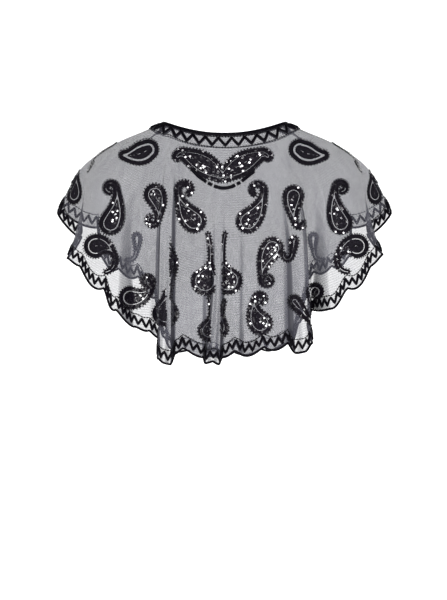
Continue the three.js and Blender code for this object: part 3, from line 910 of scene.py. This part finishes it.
# Paisleys on the shoulders and the wings, as seen from the left or the right: the way that the view lies
# round from the front and up, in degrees, and then a row like those above.
SIDE_PAISLEYS = [
    ((-60, 40), (False, -92, -138, 32, 40, -105, 10, 8, 200, 10, EVERYWHERE)),
    ((60, 40), (True, 92, -138, 32, 40, -105, 10, 8, 200, 10, EVERYWHERE)),
    ((-50, 5), (False, -170, -130, 34, 30, 80, 25, 8, 220, 11, EVERYWHERE)),
    ((50, 5), (True, 170, -130, 34, 30, 80, 25, 8, 220, 11, EVERYWHERE)),
]
# The long bugle beads in a bow under the two horns: points along it, and where it is cut into bugles.
BUGLE_BOW = [
    (-52.3, -77.3), (-42.7, -87.7), (-28.2, -97.9), (-15.3, -104.7), (-2.4, -107.9),
    (10.5, -105.5), (25, -98.2), (36.2, -89.4), (47.2, -80.5),
]
BUGLES = ((0, 0.26), (0.29, 0.35), (0.38, 0.68), (0.71, 0.76), (0.79, 1))
BUGLE_RADIUS = 2.7
PICOT_OFFSET = -0.7  # outside the border
BORDER_WIDTH = 7.2
BORDER_ROWS = (1.8, 5.2)
LEAST_LINE = 0.4  # half of the bare line down the middle of a narrow tail
BARE_LINE = 1.4
FIRST_ROW = 1.2  # of the filling, in from the bare line
FILLING_ROWS_APART = 2.6
SEQUIN_HEIGHT = 0.25
CURL_TIGHTENS = 0.35  # the share of its radius that a tail's curl loses by the tip
TIP_NARROWS = 0.2
OUTLINE_STEP = 1.8
LONGEST_STEP = 6.0  # on the cloth, past which a row is broken where a fold hides it
BACKING_INSET = 0.2
BACKING_ROWS = 4
THREAD_LIFT = 0.35
BEAD_LIFT = 1.0
SEQUIN_LIFT = 0.9
LOOP_BEAD = {"Apart": 5.4 * MM, "Size": 2.5 * MM, "Round": True, "Tilt": 0.4, "Seed": 2}
BORDER_SEQUIN = {
    "Apart": 3.4 * MM, "Size": 3.4 * MM, "Height": SEQUIN_HEIGHT * MM, "Sides": 6, "Round": False,
    "Tilt": 0.22, "Drift": 0.15, "Drift Size": 42.0, "Seed": 3,
}
FILLING_SEQUIN = {
    "Apart": 2.9 * MM, "Size": 3.8 * MM, "Height": SEQUIN_HEIGHT * MM, "Sides": 7, "Round": False,
    "Tilt": 0.2, "Drift": 0.45, "Drift Size": 42.0, "Seed": 4,
}
SEQUIN_DARK = (0.001, 0.001, 0.002, 1)
SEQUIN_LIGHT = (0.014, 0.011, 0.018, 1)


def facing(angle):
    """The direction at an angle."""
    return np.stack([np.cos(angle), np.sin(angle)], -1)


def paisley_outline(width, length, heading, bend, curl, turn, tail, broader):
    """Stops round a paisley at the origin: a point of its spine, the way to the edge, and how far it is."""
    body = np.linspace(0, 1, max(6, round(length / OUTLINE_STEP)) + 1)
    angle = np.radians(heading + bend * body)
    steps = length / (len(body) - 1) * facing(angle)[:-1]
    spine = np.concatenate([[[0, 0]], np.cumsum(steps, axis=0)])
    half = width / 2 + (tail / 2 - width / 2) * smooth(body) + broader / 2 * np.sin(math.pi * body)
    if curl:
        stops = max(6, round(abs(math.radians(turn)) * curl / OUTLINE_STEP))
        share = np.arange(1, stops + 1) / stops
        bends = angle[-1] + np.radians(turn) * share
        steps = abs(math.radians(turn)) / stops * curl * (1 - CURL_TIGHTENS * share)
        spine = np.vstack([spine, spine[-1] + np.cumsum(steps[:, None] * facing(bends), axis=0)])
        angle = np.concatenate([angle, bends])
        half = np.concatenate([half, tail / 2 * (1 - TIP_NARROWS * share)])
    left = angle + math.pi / 2
    right = angle - math.pi / 2
    tip = np.linspace(0, math.pi, 9)[1:-1]
    round_end = np.linspace(0, math.pi, max(8, round(math.pi * width / 2 / OUTLINE_STEP)))[1:-1]
    ways = np.concatenate([left, left[-1] - tip, right[::-1], right[0] - round_end])
    there = np.arange(len(spine))
    stop = np.concatenate([there, np.full(len(tip), there[-1]), there[::-1], np.zeros(len(round_end), int)])
    return spine[stop], facing(ways), half[stop]


class Ground:
    """A panel's cloth as the ground for embroidery that is drawn as seen from the front."""

    def __init__(self, piece):
        count = len(piece.data.vertices)
        points = np.empty(count * 3)
        piece.data.vertices.foreach_get("co", points)
        faces = [list(face.vertices) for face in piece.data.polygons]
        self.tree = BVHTree.FromPolygons(points.reshape(-1, 3).tolist(), faces)

    def lay(self, drawn, lift, view=None, keep=EVERYWHERE):
        """Points on the cloth behind drawn points, the way out there, and whether there is cloth to work on.

        With a view, in degrees round and up, only the near half of the cape counts.
        """
        points, outs, found = [], [], []
        for x, z in drawn:
            if view is None:
                eye, reach = Vector(EYE), 9.0
                aim = Vector((x * MM, 0, z * MM)) - eye
            else:
                round_by, up_by = map(math.radians, view)
                level = math.cos(up_by)
                aim = Vector((-math.sin(round_by) * level, math.cos(round_by) * level, -math.sin(up_by)))
                right = Vector((math.cos(round_by), math.sin(round_by), 0))
                eye, reach = (right * x + right.cross(aim) * z) * MM - aim, 1.0
            place, normal, _, _ = self.tree.ray_cast(eye, aim.normalized(), reach)
            found.append(place is not None and keep[0] < x < keep[1])
            points.append(tuple(place + normal * lift * MM) if place is not None else (0, 0, 0))
            outs.append(tuple(normal) if place is not None else (0, 0, 1))
        return np.array(points) / MM, np.array(outs), np.array(found)


class Drawing:
    """Rows of one kind of stitch on one panel, gathered from every motif."""

    def __init__(self, ground, lift):
        self.ground = ground
        self.lift = lift
        self.runs = []
        self.outs = []

    def row(self, drawn, keep, view):
        """Adds a row, broken where there is no cloth, where a fold hides it and where the motif ends."""
        if len(drawn) < 3:
            return
        points, outs, found = self.ground.lay(drawn, self.lift, view, keep)
        after = np.roll(np.arange(len(drawn)), -1)
        joined = found & found[after] & (np.linalg.norm(points[after] - points, axis=1) < LONGEST_STEP)
        if joined.all():
            self.runs.append((points, True))
            self.outs.append(outs)
            return
        start = int(np.argmin(joined)) + 1
        run = []
        for n in range(len(drawn)):
            i = (start + n) % len(drawn)
            if found[i]:
                run.append(i)
            if not joined[i]:
                if len(run) > 1:
                    self.runs.append((points[run], False))
                    self.outs.append(outs[run])
                run = []


class Backing:
    """Strips of close black thread under the sequins, on one panel."""

    def __init__(self, ground):
        self.ground = ground
        self.points = []
        self.faces = []
        self.count = 0

    def strip(self, middles, ways, reach, near, far, keep, view):
        """Covers a motif between two distances in from its edge, but for the bare line down its middle."""
        inner = np.minimum(far, reach - LEAST_LINE)
        outer = np.minimum(near, inner)
        rows = []
        for share in np.linspace(0, 1, BACKING_ROWS):
            inset = outer + (inner - outer) * share
            rows.append(middles + ways * (reach - inset)[:, None])
        points, _, found = self.ground.lay(np.concatenate(rows), THREAD_LIFT, view, keep)
        for quad in grid_faces(BACKING_ROWS, len(middles), True, False):
            sides = np.linalg.norm(points[quad] - points[np.roll(quad, 1)], axis=1)
            if found[quad].all() and sides.max() < LONGEST_STEP:
                self.faces.append((self.count + quad).tolist())
        self.points.append(points)
        self.count += len(points)


def sequin_material():
    """Black plastic sequins: flat, with a hard shine."""
    material, nodes, shader = new_material("black_sequin")
    cloud = nodes.cloud(nodes.place(), 300.0, 1.0)
    nodes.feed(shader, {
        "Base Color": nodes.shade(cloud, SEQUIN_DARK, SEQUIN_LIGHT), "IOR": 1.5,
        "Roughness": nodes.between(cloud, 0.05, 0.2), "Coat Weight": 0.3, "Coat Roughness": 0.04,
    })
    return material


def embroider(side, ground, paisleys):
    """Works one panel's paisleys, and the bow of bugles under its neck."""
    loops = Drawing(ground, BEAD_LIFT)
    border = Drawing(ground, BEAD_LIFT)
    filling = Drawing(ground, SEQUIN_LIFT)
    backing = Backing(ground)
    for view, (flip, x, z, *shape, keep), broader, bare_line in paisleys:
        middles, ways, reach = paisley_outline(*shape, broader)
        mirror = np.array([-1, 1]) if flip else np.array([1, 1])
        middles, ways = middles * mirror + (x, z), ways * mirror

        def edge_at(inset):
            inside = reach - inset > 0
            return (middles + ways * (reach - inset)[:, None])[inside]

        filled_from = BORDER_WIDTH + bare_line
        loops.row(edge_at(PICOT_OFFSET), keep, view)
        for inset in (*BORDER_ROWS, filled_from + FIRST_ROW):
            border.row(edge_at(inset), keep, view)
        inset = filled_from + FIRST_ROW + FILLING_ROWS_APART
        while inset < reach.max():
            filling.row(edge_at(inset), keep, view)
            inset += FILLING_ROWS_APART
        backing.strip(middles, ways, reach, BACKING_INSET, BORDER_WIDTH, keep, view)
        deep = reach - LEAST_LINE > filled_from
        if deep.any():
            filled = np.where(deep, reach, filled_from + LEAST_LINE)
            backing.strip(middles, ways, filled, filled_from, reach.max(), keep, view)
    bow = np.array(BUGLE_BOW)
    length = length_along(bow)
    bugles = []
    for start, end in BUGLES:
        at = np.linspace(start, end, 7) * length[-1]
        drawn = np.stack([np.interp(at, length, bow[:, 0]), np.interp(at, length, bow[:, 1])], -1)
        bugles.append((ground.lay(drawn, BUGLE_RADIUS)[0], False))
    make_thread(side + "_bugles", bugles, BUGLE_RADIUS, black_satin, sides=8)
    for name, drawing, values, material, slot in (
        ("_picots", loops, LOOP_BEAD, black_bead, "beads"),
        ("_border_sequins", border, BORDER_SEQUIN, black_sequin, "sequins"),
        ("_sequins", filling, FILLING_SEQUIN, black_sequin, "sequins"),
    ):
        make_beads(side + name, drawing.runs, np.concatenate(drawing.outs), values, material)
    cover = new_mesh(side + "_paisley_thread", np.concatenate(backing.points), backing.faces)
    cover.data.materials.append(black_satin)
    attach(cover, "root")


black_sequin = sequin_material()
broad_rows = [(None, *row) for row in BROAD_PAISLEYS]
front_rows = broad_rows + [(None, row, 0, BARE_LINE) for row in PAISLEYS]
front_rows += [(view, row, 0, BARE_LINE) for view, row in SIDE_PAISLEYS]
back_rows = broad_rows + [(None, row, 0, BARE_LINE) for row in PAISLEYS + FAR_PAISLEYS]
embroider("front", Ground(front_net), front_rows)
embroider("back", Ground(back_net), back_rows)

# The studio: a white sweep of paper below and behind, four soft lamps in front, and a dim room round it all,
# which looks white past the edges of the sweep.
FLOOR_Z = -1450
WALL_Y = 6000
WALL_TOP = 3500
SWEEP_REACH = 7000  # of the floor to the front and to each side
SWEEP_BEND = 500
SWEEP_GLOW = 0.82
PAPER_DARK = (0.93, 0.93, 0.93, 1)
PAPER_LIGHT = (0.95, 0.95, 0.95, 1)
LAMP_AIM = Vector((0, 0, -0.2))
LAMPS = [
    # name, place, length of each side, power
    ("key", (-1.7, -3.5, 1.5), 0.7, 60),
    ("fill", (2.2, -3.3, 0.5), 0.7, 50),
    ("top_glint", (0.5, -3.6, 1.9), 0.5, 52),
    ("low_glint", (-0.9, -4.1, -1.0), 0.5, 40),
]
ROOM_LIGHT = 0.12  # what the room adds to the lamps
ROOM_WHITE = 1.0  # how bright it looks itself


def paper_material():
    """White paper that glows a little, as one lit on its own does."""
    material, nodes, shader = new_material("white_sweep")
    cloud = nodes.cloud(nodes.place(), 2.0, 2.0)
    nodes.feed(shader, {
        "Base Color": nodes.shade(cloud, PAPER_DARK, PAPER_LIGHT), "Roughness": 0.9,
        "Emission Color": (1, 1, 1, 1), "Emission Strength": SWEEP_GLOW,
    })
    return material


def make_sweep():
    profile = [(-SWEEP_REACH, FLOOR_Z)]
    for turn in np.linspace(0, math.pi / 2, 9):
        forward = WALL_Y - SWEEP_BEND * (1 - math.sin(turn))
        up = FLOOR_Z + SWEEP_BEND * (1 - math.cos(turn))
        profile.append((forward, up))
    profile.append((WALL_Y, WALL_TOP))
    points = [(x, y, z) for y, z in profile for x in (-SWEEP_REACH, SWEEP_REACH)]
    faces = [(2 * i, 2 * i + 1, 2 * i + 3, 2 * i + 2) for i in range(len(profile) - 1)]
    sweep = new_mesh("sweep", points, faces)
    set_smooth(sweep)
    sweep.data.materials.append(paper_material())


def soft_lamp(name, place, side, power):
    data = bpy.data.lights.new(name, "AREA")
    data.shape = "RECTANGLE"
    data.size = data.size_y = side
    data.energy = power
    lamp = bpy.data.objects.new(name, data)
    lamp.location = place
    lamp.rotation_euler = (LAMP_AIM - Vector(place)).to_track_quat("-Z", "Y").to_euler()
    bpy.context.scene.collection.objects.link(lamp)


make_sweep()
for lamp_row in LAMPS:
    soft_lamp(*lamp_row)

world = bpy.data.worlds.new("studio")
world.use_nodes = True
room = Nodes(world.node_tree)
looked_at = room.add("ShaderNodeLightPath").outputs["Is Camera Ray"]
room.feed(world.node_tree.nodes["Background"], {
    "Color": (1, 1, 1, 1), "Strength": room.between(looked_at, ROOM_LIGHT, ROOM_WHITE),
})
bpy.context.scene.world = world
bpy.context.scene.view_settings.view_transform = "Standard"
